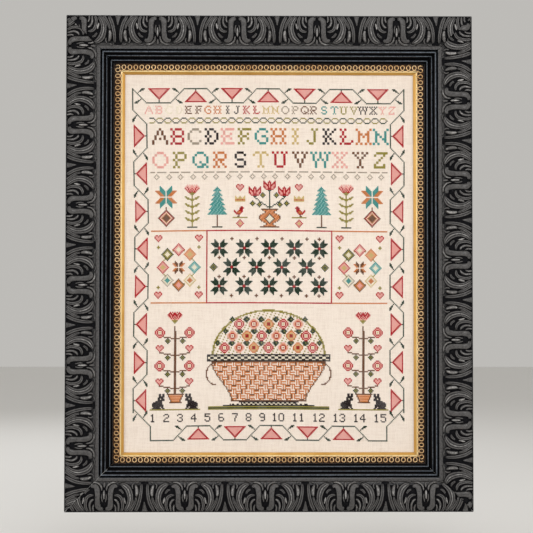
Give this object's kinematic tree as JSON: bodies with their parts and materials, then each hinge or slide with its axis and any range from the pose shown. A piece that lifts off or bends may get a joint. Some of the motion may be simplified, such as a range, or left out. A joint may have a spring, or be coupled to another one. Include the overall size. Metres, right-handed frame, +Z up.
{
  "type": "framed cross stitch sampler: stretched linen sampler in its picture frame",
  "caption": "Upright linen sampler in cross stitch, stretched on a board in a carved black picture frame with a gilded slip, made to hang flat on a wall.",
  "frame": {"origin": "on the flat back face of the top rail, at the middle of its length and width", "axes": "+Z up as the object hangs, +Y back towards the wall, +X to the right seen from the front"},
  "size_m": [0.438, 0.0298, 0.534],
  "materials": {
    "linen": "matt evenweave",
    "board": "matt",
    "ebonised_wood": "satin black, worn on the raised carving",
    "gilding": "satin gilt"
  },
  "bodies": {
    "root": {"linen": "linen", "mount_board": "board", "rail_top": "ebonised_wood", "rail_bottom": "ebonised_wood", "rail_left": "ebonised_wood", "rail_right": "ebonised_wood", "fillet_top": "gilding", "fillet_bottom": "gilding", "fillet_left": "gilding", "fillet_right": "gilding"}
  },
  "joints": []
}
